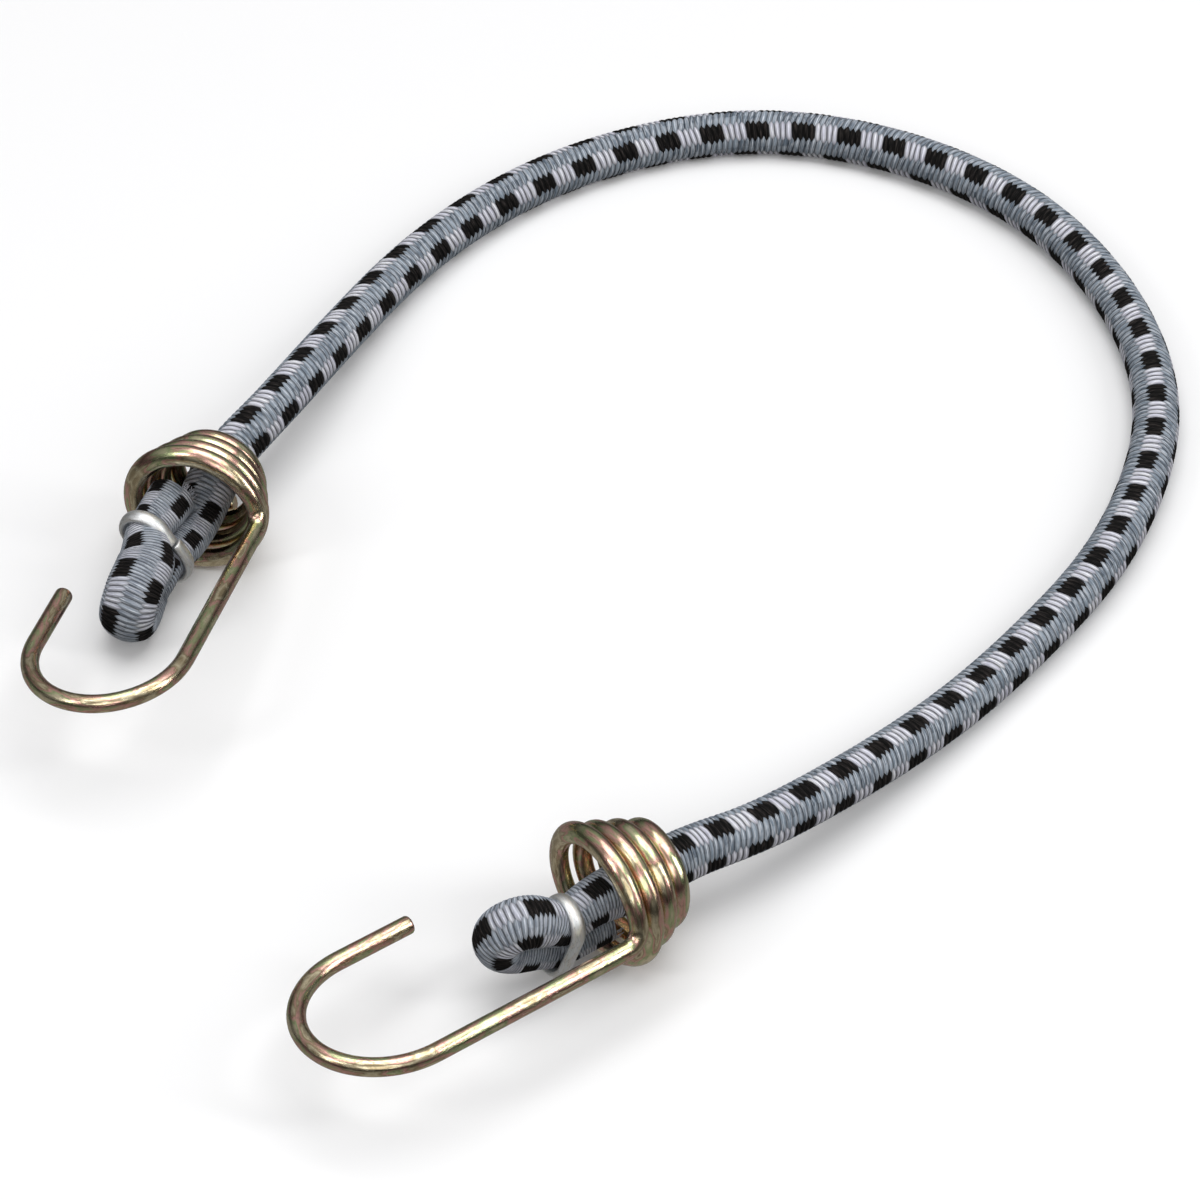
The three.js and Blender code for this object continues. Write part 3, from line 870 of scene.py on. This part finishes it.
def new_material(name):
    """Material with its graph and its Principled shader."""
    material = bpy.data.materials.new(name)
    material.use_nodes = True
    return material, Graph(material.node_tree), material.node_tree.nodes["Principled BSDF"]


def uv_places(graph):
    """The two values of a piece's UV map."""
    return graph.parts(graph.node("ShaderNodeUVMap", uv_map="UVMap").outputs[0])[:2]


def braid_material(name, floats, block_ribs, valley_shades, worn):
    """Woven sheath: slate columns between columns of black and pale blocks, with shade painted between
    its ribs and over each thread, and painted highlights and shade in its fibre streaks.

    Worn is how far the slate and pale yarns are rubbed towards each other.
    """
    material, graph, principled = new_material(name)
    columns, ribs = uv_places(graph)
    even_half = graph.math("FRACT", graph.math("MULTIPLY_ADD", columns, 0.5, 0.5))
    odd_half = graph.math("FRACT", graph.math("MULTIPLY", columns, 0.5))
    even = graph.math("MULTIPLY_ADD", even_half, 2.0, -1.0)
    odd = graph.math("MULTIPLY_ADD", odd_half, 2.0, -1.0)
    slate = graph.group(floats, even, graph.math("MULTIPLY_ADD", even, RIB_SLANT, ribs))
    odd_along = graph.math("ADD", graph.math("MULTIPLY_ADD", odd, -RIB_SLANT, ribs), 0.5)
    check = graph.group(floats, odd, odd_along)
    row = graph.math("FLOOR", graph.math("MULTIPLY", columns, 0.5))
    shifted = graph.math("MULTIPLY_ADD", row, -block_ribs / 2, check["Number"])
    block = graph.math("FLOOR", graph.math("DIVIDE", shifted, block_ribs))
    dark = graph.math("GREATER_THAN", graph.math("FRACT", graph.math("MULTIPLY", block, 0.5)), 0.25)
    on_top = graph.math("GREATER_THAN", check["Height"], slate["Height"])
    height = graph.math("MAXIMUM", check["Height"], slate["Height"])
    thread = graph.mix(on_top, slate["Thread"], check["Thread"])

    grey = graph.mix(graph.random(slate["Number"], row), *SLATE_TONES)
    # Fibre streaks: a painted highlight on the slate, painted shade on the pale and a painted highlight
    # on the black
    grey = graph.mix(graph.span(slate["Fibre"], *SLATE_HIGHLIGHT_SPAN), grey, SLATE_FIBRE_HIGHLIGHT)
    pale = graph.mix(graph.random(check["Number"], row), *PALE_TONES)
    pale = graph.mix(graph.span(check["Fibre"], *PALE_SHADE_SPAN), PALE_FIBRE_SHADE, pale)
    grey, pale = graph.mix(worn / 2, grey, pale), graph.mix(worn, pale, grey)
    black = graph.mix(graph.span(check["Fibre"], *BLACK_HIGHLIGHT_SPAN), *BLACK_AND_HIGHLIGHT)
    colour = graph.mix(on_top, grey, graph.mix(dark, pale, black))
    # Painted shade: darker between the ribs, fading out towards each crown
    slate_valley, check_valley = valley_shades
    depth = graph.math("MULTIPLY_ADD", on_top, check_valley - slate_valley, slate_valley)
    valley = graph.span(height, *VALLEY_SPAN, depth, 1.0)
    # Painted shade over each thread: its crown lighter than its sides
    valley = graph.math("MULTIPLY", valley, graph.math("MULTIPLY_ADD", thread, *THREAD_SHADE))
    shade = graph.vector(valley, valley, valley)
    graph.set(principled.inputs["Base Color"], graph.mix(1.0, colour, shade, blend="MULTIPLY"))

    both = graph.math("ADD", check["Fibre"], slate["Fibre"])
    rough = graph.span(both, *FIBRE_SUM_SPAN, *YARN_ROUGHNESS)
    rough = graph.math("MULTIPLY_ADD", graph.math("MULTIPLY", dark, on_top), BLACK_ROUGHER, rough)
    graph.set(principled.inputs["Roughness"], rough)
    graph.set(principled.inputs["Specular IOR Level"], YARN_SPECULAR)
    fibre = graph.math("ADD", graph.math("MULTIPLY", check["Fibre"], on_top), slate["Fibre"])
    relief = graph.math("MULTIPLY_ADD", thread, THREAD_RELIEF, height)
    relief = graph.math("MULTIPLY_ADD", fibre, FIBRE_RELIEF, relief)
    graph.bump(principled, relief, *YARN_BUMP)
    return material


def zinc_material(name, grain, tints, roughness):
    """Plated wire: cloudy tints in long patches, drawn lines and small dull marks."""
    material, graph, principled = new_material(name)
    lines, cloud, marks = graph.group(grain, *uv_places(graph))
    place = graph.math("MULTIPLY_ADD", lines, LINE_TINT, graph.span(cloud, *CLOUD_SPAN))
    tint = graph.ramp(place, [(position, tints[label]) for position, label in TINT_STOPS])
    dull = graph.span(marks, *DULL_SPAN)
    colour = graph.mix(graph.math("MULTIPLY", dull, DULL_DEPTH), tint, DULL_TONE)
    rough = graph.span(lines, *LINE_SPAN, *roughness)
    graph.set(principled.inputs["Base Color"], colour)
    graph.set(principled.inputs["Metallic"], 1.0)
    graph.set(principled.inputs["Roughness"], graph.math("MULTIPLY_ADD", dull, DULL_ROUGHER, rough))
    graph.bump(principled, graph.math("MULTIPLY_ADD", marks, MARK_RELIEF, lines), *ZINC_BUMP)
    return material


def latex_material():
    """Cut ends of the rubber strands: dusty tan."""
    material, graph, principled = new_material("latex")
    place = graph.node("ShaderNodeTexCoord").outputs["Object"]
    dust = graph.noise(place, LATEX_DUST_SCALE, detail=4.0)
    graph.set(principled.inputs["Base Color"], graph.mix(dust, *LATEX_TONES))
    graph.set(principled.inputs["Roughness"], LATEX_ROUGHNESS)
    graph.bump(principled, dust, *LATEX_BUMP)
    return material


def yarn_material():
    """Loose threads of the sheath: slate to pale, with a slow change along them."""
    material, graph, principled = new_material("loose_yarn")
    place = graph.node("ShaderNodeTexCoord").outputs["Object"]
    tone = graph.noise(place, LOOSE_YARN_SCALE, detail=2.0)
    graph.set(principled.inputs["Base Color"], graph.mix(tone, *LOOSE_YARN_TONES))
    graph.set(principled.inputs["Roughness"], LOOSE_YARN_ROUGHNESS)
    return material


def area_light(name, place, aim, size, power):
    """Soft light at a place, facing an aim, in metres."""
    light = bpy.data.lights.new(name, "AREA")
    light.shape = "RECTANGLE"
    light.size, light.size_y = size
    light.energy = power
    obj = bpy.data.objects.new(name, light)
    obj.location = place
    obj.rotation_euler = (Vector(aim) - Vector(place)).to_track_quat("-Z", "Y").to_euler()
    bpy.context.scene.collection.objects.link(obj)


def studio_world():
    """Surroundings that are pale overhead and below, with a dark horizon for contrast on the wire."""
    world = bpy.data.worlds.new("studio")
    world.use_nodes = True
    graph = Graph(world.node_tree)
    upward = graph.parts(graph.node("ShaderNodeTexCoord").outputs["Generated"])[2]
    sky = graph.ramp(graph.math("MULTIPLY_ADD", upward, 0.5, 0.5), SURROUNDINGS)
    background = world.node_tree.nodes["Background"]
    graph.set(background.inputs["Color"], sky)
    graph.set(background.inputs["Strength"], 1.0)
    return world


def floor_object():
    """Pale matt floor at the ground's height, a square about the origin."""
    mesh = bpy.data.meshes.new("floor")
    signs = ((-1, -1), (1, -1), (1, 1), (-1, 1))
    mesh.from_pydata([(FLOOR_HALF * x, FLOOR_HALF * y, 0) for x, y in signs], [], [(0, 1, 2, 3)])
    material, graph, principled = new_material("floor")
    graph.set(principled.inputs["Base Color"], FLOOR_COLOUR)
    graph.set(principled.inputs["Roughness"], FLOOR_ROUGHNESS)
    graph.set(principled.inputs["Specular IOR Level"], FLOOR_SPECULAR)
    mesh.materials.append(material)
    floor = bpy.data.objects.new("floor", mesh)
    floor.visible_glossy = False
    floor.visible_diffuse = False
    bpy.context.scene.collection.objects.link(floor)
    return floor


def stage():
    """Pale floor, soft studio light and the photograph's camera."""
    scene = bpy.context.scene
    floor_object()
    scene.world = studio_world()
    aim = tuple(MM * value for value in AIM)
    for name, (place, size, power) in LAMPS.items():
        area_light(name, place, aim, size, power)

    camera = bpy.data.cameras.new("camera")
    camera.sensor_width = SENSOR
    camera.lens = LENS
    camera.clip_start = CLIP_START
    obj = bpy.data.objects.new("camera", camera)
    height = math.radians(ELEVATION)
    obj.location = (
        MM * AIM[0],
        MM * (AIM[1] - DISTANCE * math.cos(height)),
        MM * DISTANCE * math.sin(height),
    )
    obj.rotation_euler = (math.pi / 2 - height, 0, 0)
    scene.collection.objects.link(obj)
    scene.camera = obj
    scene.view_settings.view_transform = "Standard"


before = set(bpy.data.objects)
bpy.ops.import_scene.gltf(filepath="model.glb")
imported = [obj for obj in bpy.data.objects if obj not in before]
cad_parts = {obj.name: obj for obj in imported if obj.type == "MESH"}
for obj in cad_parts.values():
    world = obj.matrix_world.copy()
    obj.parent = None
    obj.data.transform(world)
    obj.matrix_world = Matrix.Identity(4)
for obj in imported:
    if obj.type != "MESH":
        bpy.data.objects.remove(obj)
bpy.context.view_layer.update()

grain = grain_group()
floats = float_group()
braid = braid_material("braid", floats, BLOCK_RIBS, FREE_VALLEY_SHADE, 0.0)
slack_braid = braid_material("slack_braid", floats, FOLD_BLOCK_RIBS, FOLD_VALLEY_SHADE, FOLD_WORN)
yellow_zinc = zinc_material("yellow_zinc", grain, GOLD, GOLD_ROUGHNESS)
bright_zinc = zinc_material("bright_zinc", grain, SILVER, SILVER_ROUGHNESS)
latex = latex_material()
yarn = yarn_material()

cord = whole_cord(STEP)
number = cord["number"]
first, last = cord["seams"]
kept = np.flatnonzero((number >= first) & (number <= last))[::FREE_EVERY]
in_fold_a = np.arange(0, kept[0] + 1)
in_fold_b = np.arange(kept[-1], len(number))
free = cord_piece("free_cord", cord, kept, FREE_SIDES, braid)
fold_a = cord_piece("folded_end_a", cord, in_fold_a, FOLD_SIDES, slack_braid, 1)
fold_b = cord_piece("folded_end_b", cord, in_fold_b, FOLD_SIDES, slack_braid, -1, FOLD_SLIP_B)
strands = sorted(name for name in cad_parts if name.startswith("rubber_strand"))
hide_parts("braided_sheath", *strands)
core_a = core_end("core_end_a", cord, 1, latex)
core_b = core_end("core_end_b", cord, -1, latex)
fray_a = fray("frayed_tail_a", cord, 1, THREAD_SEEDS[0], yarn)
fray_b = fray("frayed_tail_b", cord, -1, THREAD_SEEDS[1], yarn)

for end, letter, body in ((END_A, "a", "end_a"), (END_B, "b", "cord")):
    line = hook_line(end)
    radii = (wire_widths(len(line)), WIRE_RADIUS)
    axis = end_axes(end["hook"])[0]
    hook = wire_object(f"hook_{letter}_wire", line, radii, WIRE_SIDES, yellow_zinc, WIRE_BEVEL, axis)
    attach(hook, f"hook_{letter}")
    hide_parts(f"wire_hook_{letter}")
    line, axis = ring_line(end)
    ring = wire_object(f"ring_{letter}_wire", line, RING_RADII, RING_SIDES, bright_zinc, RING_BEVEL, axis)
    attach(ring, body)
    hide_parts(f"crimp_ring_{letter}")

for piece in (fold_a, core_a, fray_a):
    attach(piece, "end_a")
for piece in (fold_b, core_b, fray_b):
    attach(piece, "cord")

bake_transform(free)

stage()
